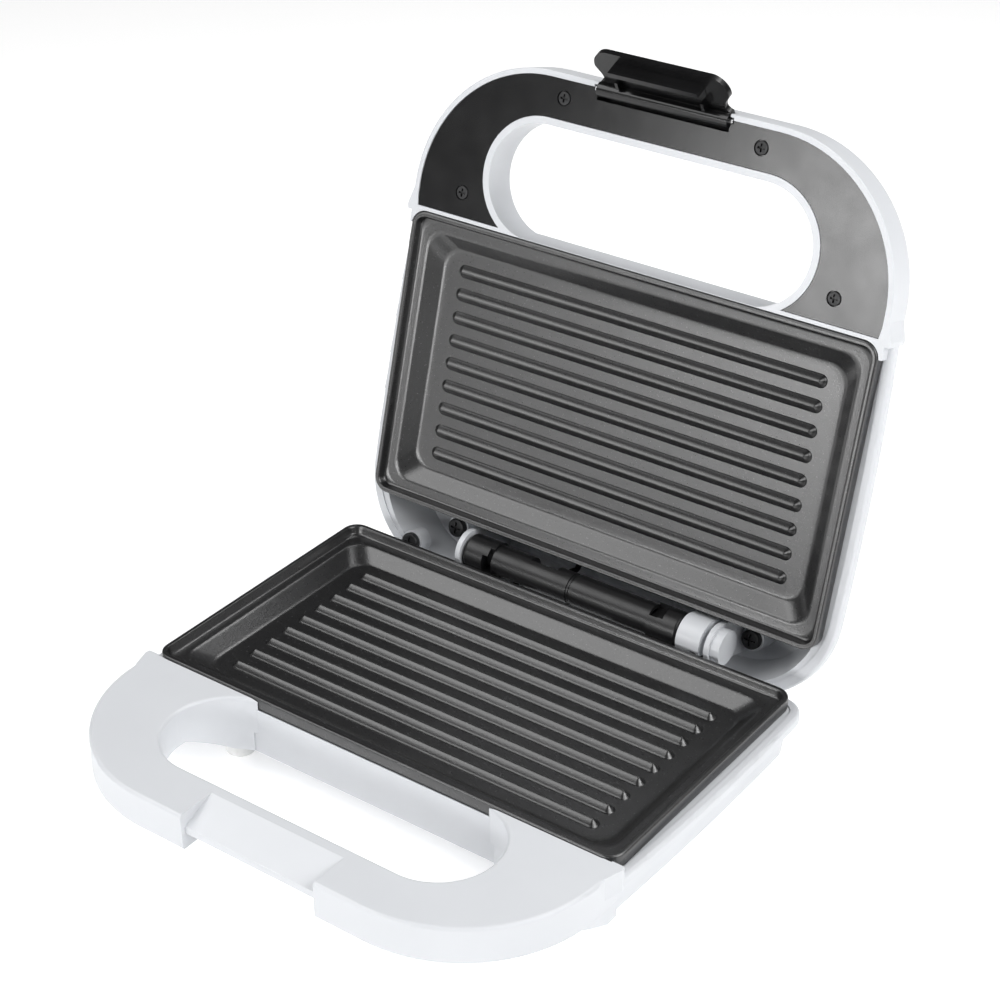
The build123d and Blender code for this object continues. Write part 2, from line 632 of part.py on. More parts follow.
def lid_housing():
    shell = lid_dome()
    handle = lid_handle() - prism(lid_outline(4.0, 4.0), -5, 40)
    shell += handle
    shell += hinge_web(KNUCKLE_IN, KNUCKLE_OUT)
    shell += hinge_web(-LEFT_WEB_OUT, -KNUCKLE_IN)
    shell += hinge_web(CHEEK_IN, CHEEK_IN + 2.2)
    shell += bar(CHEEK_IN + 1.0, CHEEK_OUT, HINGE_Y, HINGE_Z, CHEEK_R)
    shell -= bar(KNUCKLE_IN - 1, RIGHT_PIN_END + 0.6, HINGE_Y, HINGE_Z, PIN_R + 0.05)
    shell -= bar(-LEFT_WEB_OUT - 1, -KNUCKLE_IN + 1, HINGE_Y, HINGE_Z, PIN_R + 0.05)
    shell -= rounded_finger_hole(LID_HANDLE_TOP, 2.0) - prism(base_flange(0), -60, 60)
    for x, y, z, post_top in LID_SCREWS:
        shell += rod(x, y, z, post_top, 5.4)
        shell -= rod(x, y, z - 0.1, z + 7.0, 1.45)
    x, y, z, _ = LID_SCREWS[-1]
    shell -= rod(x, y, z - 14.0, z, 5.1)
    shell -= box(-31.4, 31.4, FRONT - 75, FRONT - 66, -1, 7.0)
    shell -= box(-33.0, 33.0, FRONT - 71.0, FRONT - 63.2, -1, 8.6)
    shell -= prism(plate_outline(-0.3), -1, LIP_GAP + SKIRT)
    shell -= prism(floor_outline(4.4), LIP_GAP + SKIRT - 0.5, 12.6)
    for x, y in LAMPS:
        shell -= rod(x, y, LID_TOP - 4, LID_TOP + 2, 3.1)
    for x, y in LID_HANDLE_SCREWS:
        post = rod(x, y, 4.0, LID_HANDLE_TOP - 2.0, 3.6)
        shell += post - rod(x, y, 3.0, 13.0, 1.45)
    return shell


def lid_envelope():
    solid = between(lid_outline(1.5, 1.5), LID_FLANGE, lid_outline(14.5, 5.5), LID_SHOULDER)
    return solid + between(lid_outline(14.5, 5.5), LID_SHOULDER, lid_outline(24.5, 13.5), LID_TOP - 0.5)


LID_HANDLE_SCREWS = [
    (-90.5, FRONT - 12.3),
    (90.5, FRONT - 12.3),
    (-47.0, FRONT - 62.1),
    (47.0, FRONT - 62.1),
]


def handle_cover():
    """The black panel let into the lid handle, with the trough the latch turns in."""
    panel = prism(handle_outline(2.6, FRONT - 2.1), 1.5, 4.0)
    panel -= prism(finger_hole(3.2), 0, 10)
    panel -= box(-31.4, 31.4, FRONT - 75, FRONT - 64.8, -1, 6)
    trough = box(-32.8, 32.8, FRONT - 70.8, FRONT - 63.4, 1.5, 8.4)
    trough -= box(-31.4, 31.4, FRONT - 75.0, FRONT - 64.8, 0, 7.0)
    panel += trough
    panel -= bar(-33, 33, PIVOT_Y, PIVOT_Z, 1.2)
    for x, y in LID_HANDLE_SCREWS:
        panel -= rod(x, y, 0, 6, 1.8)
        panel -= rod(x, y, 0, 2.6, 3.3)
    return panel


def handle_cover_screws():
    screws = []
    for x, y in LID_HANDLE_SCREWS:
        screws.append(pan_screw(x, y, 2.6, -1, 2.9, 1.2, 1.4, 9.0))
    return Compound(children=screws)


def lid_hinge_screws():
    screws = []
    for x, y, z, _ in LID_SCREWS:
        screws.append(pan_screw(x, y, z, -1, 4.4, 2.6, 1.4, 6.5))
    return Compound(children=screws)


def lamp_lens(number):
    x, y = LAMPS[number]
    lens = rod(x, y, LID_TOP - 4.5, LID_TOP + 0.6, 3.0)
    lens = fillet(lens.faces().sort_by(Axis.Z)[-1].edges(), 0.9)
    return lens + rod(x, y, LID_TOP - 4.5, LID_TOP - SKIN - 0.1, 4.0)


def lamp_holder():
    """A small board with two neon lamps under the lenses."""
    plate = box(-20.0, 20.0, LAMP_Y - 5.5, LAMP_Y + 5.5, LID_TOP - 12.0, LID_TOP - 10.8)
    for x, y in LAMPS:
        plate += rod(x, y, LID_TOP - 11.0, LID_TOP - 5.4, 2.4)
    for x in (-18.0, 18.0):
        plate += rod(x, LAMP_Y, LID_TOP - 11.0, LID_TOP - SKIN, 1.6)
    return plate


def lid_wiring():
    """The lead that leaves the hinge barrel and runs to the upper element and lamps."""
    z = LID_TOP - 6.5
    lead = tube_path(
        [
            (-16.0, HINGE_Y + 1.6, HINGE_Z + 2.0),
            (-16.0, HINGE_Y + 1.6, z),
            (-16.0, -20.0, z),
            (-40.0, -20.0, z),
            (-40.0, FRONT + 46.0, z),
        ],
        1.3,
        2.4,
    )
    return lead


# ---------------------------------------------------------------- latch
def latch_place(shape):
    """Put a latch drawn about its pivot into the lid at its resting tilt."""
    return Pos(0, PIVOT_Y, PIVOT_Z) * Rot(LATCH_TILT, 0, 0) * shape


def latch():
    barrel = bar(-31.0, 31.0, 0, 0, 3.2)
    outline = make_face(
        [
            Line((-31.0, 0.0), (31.0, 0.0)),
            Line((31.0, 0.0), (31.0, -2.6)),
            Spline([(31.0, -2.6), (28.6, -5.4), (29.8, -8.4), (31.6, -11.0)]),
            Spline([(31.6, -11.0), (31.2, -14.6), (28.4, -18.2), (23.6, -19.6)]),
            Line((23.6, -19.6), (-23.6, -19.6)),
            Spline([(-23.6, -19.6), (-28.4, -18.2), (-31.2, -14.6), (-31.6, -11.0)]),
            Spline([(-31.6, -11.0), (-29.8, -8.4), (-28.6, -5.4), (-31.0, -2.6)]),
            Line((-31.0, -2.6), (-31.0, 0.0)),
        ]
    )
    tab = prism(outline, 1.6, 4.0)
    hook = box(-21.0, 21.0, -15.2, -13.0, -4.4, 1.8)
    ribs = box(-21.0, -19.6, -15.2, -4.0, -2.0, 1.8) + box(19.6, 21.0, -15.2, -4.0, -2.0, 1.8)
    ribs -= box(-22.0, 22.0, -13.0, -7.6, -6.0, 1.35)
    shape = barrel + tab + hook + ribs
    shape -= bar(-32, 32, 0, 0, 1.27)
    return shape


def latch_pin():
    return Pos(0, PIVOT_Y, PIVOT_Z) * bar(-32.6, 32.6, 0, 0, 1.2)


# ---------------------------------------------------------------- write every piece
def main():
    plate = grill_plate()
    element = heating_element()
    sheet = reflector()
    screws = plate_screws()

    save("base_housing", base_housing())
    save("base_handle_cover", base_handle_cover())
    save("base_handle_screws", base_handle_screws())
    save("base_bottom_cover", base_bottom_cover())
    save("base_cover_screws", base_cover_screws())
    save("feet", feet())
    save("lower_grill_plate", plate)
    save("lower_heating_element", element)
    save("lower_reflector", sheet)
    save("lower_plate_screws", screws)
    save("thermostat", thermostat())
    save("thermal_fuse", thermal_fuse())
    save("terminal_block", terminal_block())
    save("base_wiring", base_wiring())
    save("cord_inlet_bush", cord_inlet_bush())
    save("hinge_barrel_left", hinge_barrel(-1))
    save("hinge_barrel_right", hinge_barrel(1))
    save("hinge_bracket_left", hinge_bracket(-1))
    save("hinge_bracket_right", hinge_bracket(1))
    save("hinge_pins", hinge_pins())
    save("hinge_bracket_screws", hinge_bracket_screws())

    save_lid("lid_housing", lid_housing())
    save_lid("handle_cover", handle_cover())
    save_lid("handle_cover_screws", handle_cover_screws())
    save_lid("upper_grill_plate", flip(plate))
    save_lid("upper_heating_element", flip(element))
    save_lid("upper_reflector", flip(sheet))
    save_lid("upper_plate_screws", flip(screws))
    save_lid("lid_hinge_screws", lid_hinge_screws())
    save_lid("power_lamp_lens", lamp_lens(0))
    save_lid("ready_lamp_lens", lamp_lens(1))
    save_lid("lamp_holder", lamp_holder())
    save_lid("lid_wiring", lid_wiring())
    save_lid("latch_pin", latch_pin())
    save_lid("latch", latch_place(latch()))


main()
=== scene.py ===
"""A two-slice sandwich press: fine surfaces, finishes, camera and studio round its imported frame.

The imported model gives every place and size.  Each sub-assembly below is a class that holds its
sizes, builds its surfaces with numpy and dresses them; each finish is a frozen dataclass.
"""

import json
import logging
import math
from dataclasses import dataclass, field
from enum import Enum

import bpy
import numpy as np
from mathutils import Matrix, Vector


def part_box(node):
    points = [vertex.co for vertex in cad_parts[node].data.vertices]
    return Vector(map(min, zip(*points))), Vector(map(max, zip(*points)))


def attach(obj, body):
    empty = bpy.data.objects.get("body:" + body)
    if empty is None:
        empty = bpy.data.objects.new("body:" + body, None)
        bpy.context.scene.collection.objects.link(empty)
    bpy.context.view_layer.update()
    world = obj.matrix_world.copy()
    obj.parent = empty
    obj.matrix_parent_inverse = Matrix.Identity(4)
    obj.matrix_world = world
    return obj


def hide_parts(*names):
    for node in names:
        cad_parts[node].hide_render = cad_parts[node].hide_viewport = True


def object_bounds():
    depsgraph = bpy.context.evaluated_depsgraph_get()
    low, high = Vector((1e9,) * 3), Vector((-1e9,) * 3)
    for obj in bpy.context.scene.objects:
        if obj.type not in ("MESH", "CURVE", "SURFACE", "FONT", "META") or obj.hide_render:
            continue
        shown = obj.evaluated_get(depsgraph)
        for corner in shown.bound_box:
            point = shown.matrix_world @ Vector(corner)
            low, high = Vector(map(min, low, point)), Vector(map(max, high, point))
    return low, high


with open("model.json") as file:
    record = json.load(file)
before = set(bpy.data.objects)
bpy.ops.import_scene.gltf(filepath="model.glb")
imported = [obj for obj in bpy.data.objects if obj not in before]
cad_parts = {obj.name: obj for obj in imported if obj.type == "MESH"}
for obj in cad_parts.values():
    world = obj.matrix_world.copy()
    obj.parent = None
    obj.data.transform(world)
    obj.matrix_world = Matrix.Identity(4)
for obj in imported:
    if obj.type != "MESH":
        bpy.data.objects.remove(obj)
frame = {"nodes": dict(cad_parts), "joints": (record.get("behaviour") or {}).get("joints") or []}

CAD_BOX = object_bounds()
MM = 0.001
# Half the length of a stadium's shortest straight, so that no two of its points coincide.
HAIR = 0.001 * MM
WHITE_LIGHT = (1.0, 1.0, 1.0, 1.0)

log = logging.getLogger("press")


class Body(Enum):
    """The moving bodies of the press."""

    BASE = "base"
    LID = "lid"
    LATCH = "latch"


# ---------------------------------------------------------------- node helpers
class Shader:
    """A thin layer over one material's node tree."""

    def __init__(self, name: str) -> None:
        """Make a material with an empty tree, a principled shader and object coordinates.

        Args:
            name: The material's name.
        """
        self.material = bpy.data.materials.new(name)
        self.material.use_nodes = True
        self.tree = self.material.node_tree
        self.tree.nodes.clear()
        output = self.tree.nodes.new("ShaderNodeOutputMaterial")
        self.surface = self.tree.nodes.new("ShaderNodeBsdfPrincipled")
        self.tree.links.new(self.surface.outputs["BSDF"], output.inputs["Surface"])
        self.coordinates = self.tree.nodes.new("ShaderNodeTexCoord").outputs["Object"]

    def link(self, source: bpy.types.NodeSocket, target: bpy.types.NodeSocket) -> None:
        """Join one socket to another."""
        self.tree.links.new(source, target)

    def noise(
        self, scale: float, detail: float = 3.0, roughness: float = 0.55
    ) -> bpy.types.NodeSocket:
        """Add a noise texture on object coordinates.

        Args:
            scale: Cells per metre.
            detail: Octaves.
            roughness: Strength of the finer octaves.

        Returns:
            The texture's grey output.
        """
        node = self.tree.nodes.new("ShaderNodeTexNoise")
        node.inputs["Scale"].default_value = scale
        node.inputs["Detail"].default_value = detail
        node.inputs["Roughness"].default_value = roughness
        self.link(self.coordinates, node.inputs["Vector"])
        return node.outputs["Fac"]

    def cells(self, scale: float) -> bpy.types.NodeSocket:
        """Add a Voronoi texture on object coordinates and return its distance output."""
        node = self.tree.nodes.new("ShaderNodeTexVoronoi")
        node.inputs["Scale"].default_value = scale
        self.link(self.coordinates, node.inputs["Vector"])
        return node.outputs["Distance"]

    def ramp(
        self,
        source: bpy.types.NodeSocket,
        low: float,
        high: float,
        start: float = 0.0,
        end: float = 1.0,
    ) -> bpy.types.NodeSocket:
        """Map a value from low..high to start..end, clamped.

        Args:
            source: The value.
            low: Its value that becomes start.
            high: Its value that becomes end.
            start: Result at low.
            end: Result at high.

        Returns:
            The mapped value's socket.
        """
        node = self.tree.nodes.new("ShaderNodeMapRange")
        node.inputs["From Min"].default_value = low
        node.inputs["From Max"].default_value = high
        node.inputs["To Min"].default_value = start
        node.inputs["To Max"].default_value = end
        self.link(source, node.inputs["Value"])
        return node.outputs["Result"]

    def blend(
        self,
        factor: bpy.types.NodeSocket,
        first: tuple[float, float, float],
        second: tuple[float, float, float],
    ) -> bpy.types.NodeSocket:
        """Mix two colours by a factor.

        Args:
            factor: Share of the second colour.
            first: Colour at 0.
            second: Colour at 1.

        Returns:
            The mixed colour's socket.
        """
        node = self.tree.nodes.new("ShaderNodeMix")
        node.data_type = "RGBA"
        node.inputs["A"].default_value = (*first, 1.0)
        node.inputs["B"].default_value = (*second, 1.0)
        self.link(factor, node.inputs["Factor"])
        return node.outputs["Result"]

    def add(
        self, first: bpy.types.NodeSocket, second: bpy.types.NodeSocket, weight: float
    ) -> bpy.types.NodeSocket:
        """Add a weighted pattern to another.

        Args:
            first: Pattern taken whole.
            second: Pattern that is scaled.
            weight: Its scale.

        Returns:
            The socket of first + weight * second.
        """
        node = self.tree.nodes.new("ShaderNodeMath")
        node.operation = "MULTIPLY_ADD"
        node.inputs[1].default_value = weight
        self.link(second, node.inputs[0])
        self.link(first, node.inputs[2])
        return node.outputs["Value"]

    def bump(self, height: bpy.types.NodeSocket, depth: float) -> None:
        """Push the shading normal by a height pattern.

        Args:
            height: Grey pattern from 0 to 1.
            depth: Metres from its lowest to its highest.
        """
        node = self.tree.nodes.new("ShaderNodeBump")
        node.inputs["Distance"].default_value = depth
        node.inputs["Strength"].default_value = 1.0
        self.link(height, node.inputs["Height"])
        self.link(node.outputs["Normal"], self.surface.inputs["Normal"])

    def put(self, **values: float) -> None:
        """Set constant sockets by name, spaces written as underscores."""
        for name, value in values.items():
            self.surface.inputs[name.replace("_", " ")].default_value = value


# ---------------------------------------------------------------- finishes
# Noise levels that are stretched over a ramp: its middle only, or nearly all of it.
MIDDLE = (0.35, 0.65)
BROAD = (0.3, 0.7)


@dataclass(frozen=True)
class MouldedPlastic:
    """Moulded plastic: a fine eggshell texture, faint flow clouds and a little gloss variation."""

    name: str
    colour: tuple[float, float, float]
    shade: tuple[float, float, float]
    roughness: float = 0.34
    spread: float = 0.04
    grain: float = 1400.0
    grain_depth: float = 0.000006
    ior: float = 1.49
    cloud_scale: float = 28.0
    gloss_scale: float = 90.0

    def make(self) -> bpy.types.Material:
        """Build the material: clouds tint it, a coarser noise varies its gloss, grain bumps it.

        Returns:
            The material.
        """
        shader = Shader(self.name)
        clouds = shader.ramp(shader.noise(self.cloud_scale, 2.0), *MIDDLE)
        tint = shader.blend(clouds, self.colour, self.shade)
        shader.link(tint, shader.surface.inputs["Base Color"])
        fine = shader.noise(self.grain, 3.0)
        dull, keen = self.roughness + self.spread, self.roughness - self.spread
        gloss = shader.ramp(shader.noise(self.gloss_scale, 4.0), *BROAD, keen, dull)
        shader.link(gloss, shader.surface.inputs["Roughness"])
        shader.bump(fine, self.grain_depth)
        shader.put(IOR=self.ior)
        return shader.material


@dataclass(frozen=True)
class NonStickCoating:
    """Sprayed non-stick coating: near-black, finely pebbled, with scattered pale flecks."""

    name: str = "nonstick_coating"
    colour: tuple[float, float, float] = (0.006, 0.006, 0.0065)
    cloud: tuple[float, float, float] = (0.01, 0.01, 0.0105)
    fleck: tuple[float, float, float] = (0.15, 0.15, 0.154)
    pebble_scale: float = 2100.0
    pebble_depth: float = 0.00004
    fleck_scale: float = 900.0
    fleck_core: float = 0.1
    fleck_edge: float = 0.22
    patch_scale: float = 700.0
    patch_from: float = 0.52
    patch_full: float = 0.6
    cloud_scale: float = 45.0
    gloss_scale: float = 1500.0
    roughness: tuple[float, float] = (0.27, 0.32)
    lump_scale: float = 700.0
    lump_share: float = 0.6
    ior: float = 1.85

    def make(self) -> bpy.types.Material:
        """Build the material: cell centres in some patches are flecks, two noises are pebbles.

        Returns:
            The material.
        """
        shader = Shader(self.name)
        cells = shader.cells(self.fleck_scale)
        flecks = shader.ramp(cells, self.fleck_core, self.fleck_edge, 1.0, 0.0)
        patches = shader.noise(self.patch_scale, 1.0)
        sparse = shader.ramp(patches, self.patch_from, self.patch_full)
        node = shader.tree.nodes.new("ShaderNodeMath")
        node.operation = "MULTIPLY"
        shader.link(flecks, node.inputs[0])
        shader.link(sparse, node.inputs[1])
        clouds = shader.ramp(shader.noise(self.cloud_scale), *MIDDLE)
        ground = shader.blend(clouds, self.colour, self.cloud)
        top = shader.tree.nodes.new("ShaderNodeMix")
        top.data_type = "RGBA"
        top.inputs["B"].default_value = (*self.fleck, 1.0)
        shader.link(ground, top.inputs["A"])
        shader.link(node.outputs["Value"], top.inputs["Factor"])
        shader.link(top.outputs["Result"], shader.surface.inputs["Base Color"])
        rough = shader.ramp(shader.noise(self.gloss_scale, 2.0), *BROAD, *self.roughness)
        shader.link(rough, shader.surface.inputs["Roughness"])
        pebbles = shader.noise(self.pebble_scale, 2.0)
        lumps = shader.noise(self.lump_scale, 2.0)
        shader.bump(shader.add(pebbles, lumps, self.lump_share), self.pebble_depth)
        shader.put(IOR=self.ior)
        return shader.material


@dataclass(frozen=True)
class Metal:
    """Bare or plated metal with fine turning marks and a mottled gloss."""

    name: str
    colour: tuple[float, float, float]
    shade: tuple[float, float, float]
    roughness: float = 0.3
    metallic: float = 1.0
    mark_scale: float = 1600.0
    mark_depth: float = 0.00002
    mottle_scale: float = 260.0
    gloss_scale: float = 520.0
    keenest: float = 0.8
    dullest: float = 1.25

    def make(self) -> bpy.types.Material:
        """Build the material: mottle tints it, a finer noise varies its gloss, marks bump it.

        Returns:
            The material.
        """
        shader = Shader(self.name)
        mottle = shader.ramp(shader.noise(self.mottle_scale, 5.0), *MIDDLE)
        tint = shader.blend(mottle, self.colour, self.shade)
        shader.link(tint, shader.surface.inputs["Base Color"])
        keen, dull = self.roughness * self.keenest, self.roughness * self.dullest
        gloss = shader.ramp(shader.noise(self.gloss_scale, 4.0), *BROAD, keen, dull)
        shader.link(gloss, shader.surface.inputs["Roughness"])
        shader.bump(shader.noise(self.mark_scale, 3.0), self.mark_depth)
        shader.put(Metallic=self.metallic)
        return shader.material


@dataclass(frozen=True)
class Rubber:
    """Soft matt rubber with a powdery bloom."""

    name: str
    colour: tuple[float, float, float]
    bloom: tuple[float, float, float]
    bloom_scale: float = 160.0
    bloom_levels: tuple[float, float] = (0.4, 0.7)
    gloss_scale: float = 420.0
    roughness: tuple[float, float] = (0.62, 0.8)
    grain: float = 1100.0
    grain_depth: float = 0.00003

    def make(self) -> bpy.types.Material:
        """Build the material: a bloom whitens it in patches and fine grain bumps it.

        Returns:
            The material.
        """
        shader = Shader(self.name)
        bloom = shader.ramp(shader.noise(self.bloom_scale, 5.0), *self.bloom_levels)
        tint = shader.blend(bloom, self.colour, self.bloom)
        shader.link(tint, shader.surface.inputs["Base Color"])
        rough = shader.ramp(shader.noise(self.gloss_scale, 3.0), *BROAD, *self.roughness)
        shader.link(rough, shader.surface.inputs["Roughness"])
        shader.bump(shader.noise(self.grain, 2.0), self.grain_depth)
        return shader.material


@dataclass(frozen=True)
class Lens:
    """Tinted clear plastic of an indicator, with a faint inner cloud."""

    name: str
    colour: tuple[float, float, float]
    deep: tuple[float, float, float]
    cloud_scale: float = 300.0
    gloss_scale: float = 700.0
    roughness: tuple[float, float] = (0.08, 0.18)
    clear: float = 0.35
    ior: float = 1.49

    def make(self) -> bpy.types.Material:
        """Build the material: a cloud deepens its tint and part of the light goes through it.

        Returns:
            The material.
        """
        shader = Shader(self.name)
        cloud = shader.ramp(shader.noise(self.cloud_scale, 3.0), *MIDDLE)
        tint = shader.blend(cloud, self.colour, self.deep)
        shader.link(tint, shader.surface.inputs["Base Color"])
        rough = shader.ramp(shader.noise(self.gloss_scale, 2.0), *BROAD, *self.roughness)
        shader.link(rough, shader.surface.inputs["Roughness"])
        shader.put(Transmission_Weight=self.clear, IOR=self.ior)
        return shader.material


class Finish(Enum):
    """Every finish of the press, by what it is on."""

    WHITE = MouldedPlastic("white_housing", (0.64, 0.655, 0.68), (0.625, 0.64, 0.665))
    BLACK = MouldedPlastic(
        "black_moulding",
        (0.004, 0.004, 0.0043),
        (0.006, 0.006, 0.0064),
        0.2, 0.02, 2200.0, 0.000008, 1.52,
    )
    GRAINED = MouldedPlastic(
        "black_grained_moulding",
        (0.006, 0.006, 0.0065),
        (0.01, 0.01, 0.0105),
        0.36, 0.05, 1500.0, 0.00005, 1.52,
    )
    COATING = NonStickCoating()
    DARK_SCREW = Metal("black_oxide_screw", (0.02, 0.02, 0.021), (0.035, 0.035, 0.036), 0.4, 0.5)
    ZINC_SCREW = Metal("zinc_screw", (0.62, 0.64, 0.66), (0.5, 0.52, 0.55), 0.28)
    PLAIN_STEEL = Metal("plain_steel", (0.55, 0.55, 0.56), (0.42, 0.42, 0.43), 0.24)
    HEATER = Metal("oxidised_heater_tube", (0.24, 0.21, 0.19), (0.12, 0.11, 0.1), 0.45)
    REFLECTOR = Metal("aluminised_sheet", (0.74, 0.75, 0.76), (0.62, 0.63, 0.64), 0.26, 1.0, 800.0)
    BRASS = Metal("brass_switchgear", (0.68, 0.5, 0.24), (0.5, 0.35, 0.16), 0.32)
    FOOT = Rubber("pale_foot_rubber", (0.78, 0.78, 0.77), (0.7, 0.7, 0.69))
    SLEEVE = Rubber("wire_sleeve", (0.03, 0.03, 0.03), (0.06, 0.06, 0.06))
    RED = Lens("red_lens", (0.55, 0.02, 0.015), (0.35, 0.01, 0.01))
    GREEN = Lens("green_lens", (0.02, 0.42, 0.08), (0.01, 0.25, 0.05))


class Paintbox:
    """Makes each finish once and hands out its material."""

    def __init__(self) -> None:
        """Start with no finish made."""
        self.made: dict[Finish, bpy.types.Material] = {}

    def get(self, finish: Finish) -> bpy.types.Material:
        """Return the material of a finish."""
        if finish not in self.made:
            self.made[finish] = finish.value.make()
        return self.made[finish]

    def coat(self, piece: bpy.types.Object, finish: Finish) -> None:
        """Give a piece or a CAD node one finish all over."""
        material = self.get(finish)
        if not piece.material_slots:
            piece.data.materials.append(material)
        for place in piece.material_slots:
            place.material = material


# ---------------------------------------------------------------- surfaces
Surface = tuple[np.ndarray, list[tuple[int, ...]]]


def rounded_loop(
    half_x: float, half_y: float, radius: float, per_corner: int, per_side: int
) -> np.ndarray:
    """Points round a rounded rectangle centred on the origin, anticlockwise.

    A corner's points are centre + radius * (cos a, sin a); a side's points are spaced evenly
    between two corners.

    Args:
        half_x: Half its width.
        half_y: Half its depth.
        radius: Corner radius.
        per_corner: Points on each corner arc.
        per_side: Points between two corners.

    Returns:
        An array of shape (4 * (per_corner + per_side), 2).
    """
    angles = np.linspace(0.0, math.pi / 2, per_corner)
    stretches = []
    signs = np.array([(1, 1), (-1, 1), (-1, -1), (1, -1)], float)
    corners = signs * (half_x - radius, half_y - radius)
    for turn, corner in enumerate(corners):
        a = angles + turn * math.pi / 2
        arc = corner + radius * np.stack([np.cos(a), np.sin(a)], axis=1)
        following = corners[(turn + 1) % 4]
        b = a[-1]
        end = following + radius * np.array([math.cos(b), math.sin(b)])
        share = (np.arange(per_side) + 1.0)[:, None] / (per_side + 1.0)
        stretches += [arc, arc[-1] + share * (end - arc[-1])]
    return np.concatenate(stretches)


def soften(points: np.ndarray, radius: float, steps: int) -> np.ndarray:
    """Round the inner corners of an open profile.

    Each corner p becomes the curve (1-t)^2 a + 2t(1-t) p + t^2 b, where a and b lie on its two
    runs, radius from p or half the run if that is nearer.

    Args:
        points: The profile's points, one row each.
        radius: Distance from a corner at which the curve starts.
        steps: Divisions of each curve.

    Returns:
        The rounded profile's points.
    """
    rounded = [points[:1]]
    t = np.linspace(0.0, 1.0, steps + 1)[:, None]
    for before, corner, after in zip(points[:-2], points[1:-1], points[2:]):
        back, ahead = before - corner, after - corner
        back_run, ahead_run = np.linalg.norm(back), np.linalg.norm(ahead)
        a = corner + back * min(radius, back_run / 2) / back_run
        b = corner + ahead * min(radius, ahead_run / 2) / ahead_run
        rounded.append((1 - t) ** 2 * a + 2 * t * (1 - t) * corner + t**2 * b)
    rounded.append(points[-1:])
    return np.concatenate(rounded)


def closed_rings(rings: np.ndarray) -> Surface:
    """Join rings of points into one closed surface with a pole at each end.

    Args:
        rings: Shape (rings, points, 3); the outside is on the left of a ring's direction as the
            rings follow each other.

    Returns:
        The vertices and the faces.
    """
    count, around, _ = rings.shape
    poles = np.stack([rings[0].mean(axis=0), rings[-1].mean(axis=0)])
    vertices = np.concatenate([rings.reshape(-1, 3), poles])
    row, column = np.meshgrid(np.arange(count - 1), np.arange(around), indexing="ij")
    following = (column + 1) % around
    quads = np.stack(
        [
            row * around + column,
            row * around + following,
            (row + 1) * around + following,
            (row + 1) * around + column,
        ],
        axis=-1,
    ).reshape(-1, 4)
    step = np.arange(around)
    ahead = (step + 1) % around
    last = (count - 1) * around
    first_fan = np.stack([np.full(around, count * around), ahead, step], axis=1)
    last_fan = np.stack([np.full(around, count * around + 1), last + step, last + ahead], axis=1)
    faces = [tuple(f) for f in quads.tolist()]
    faces += [tuple(f) for f in first_fan.tolist()]
    faces += [tuple(f) for f in last_fan.tolist()]
    return vertices, faces


def make_piece(name: str, surfaces: list[Surface]) -> bpy.types.Object:
    """Put closed surfaces into one smooth-shaded mesh object.

    Args:
        name: The piece's name.
        surfaces: (vertices, faces) of each surface, in metres in the press's own frame.

    Returns:
        The new object, at the origin.
    """
    vertices = []
    faces = []
    start = 0
    for points, loops in surfaces:
        vertices.append(points)
        faces += [tuple(i + start for i in loop) for loop in loops]
        start += len(points)
    mesh = bpy.data.meshes.new(name)
    mesh.from_pydata(np.concatenate(vertices).tolist(), [], faces)
    mesh.polygons.foreach_set("use_smooth", np.ones(len(mesh.polygons), bool))
    mesh.update()
    piece = bpy.data.objects.new(name, mesh)
    bpy.context.scene.collection.objects.link(piece)
    return piece


def turned(points: np.ndarray, about: np.ndarray, degrees: float) -> np.ndarray:
    """Turn points about an axis along X through a point, by the right-hand rule."""
    a = math.radians(degrees)
    matrix = np.array([[1, 0, 0], [0, math.cos(a), -math.sin(a)], [0, math.sin(a), math.cos(a)]])
    return (points - about) @ matrix.T + about


# ---------------------------------------------------------------- the frame's own numbers
@dataclass
class Hinge:
    """One joint of the record, as a point and its range."""

    name: str
    point: np.ndarray = field(init=False)
    reach: float = field(init=False)

    def __post_init__(self) -> None:
        """Read the joint from the frame."""
        joint = next(j for j in frame["joints"] if j["name"] == self.name)
        self.point = np.array(joint["pos_m"], float)
        self.reach = float(joint["range_deg"][1])


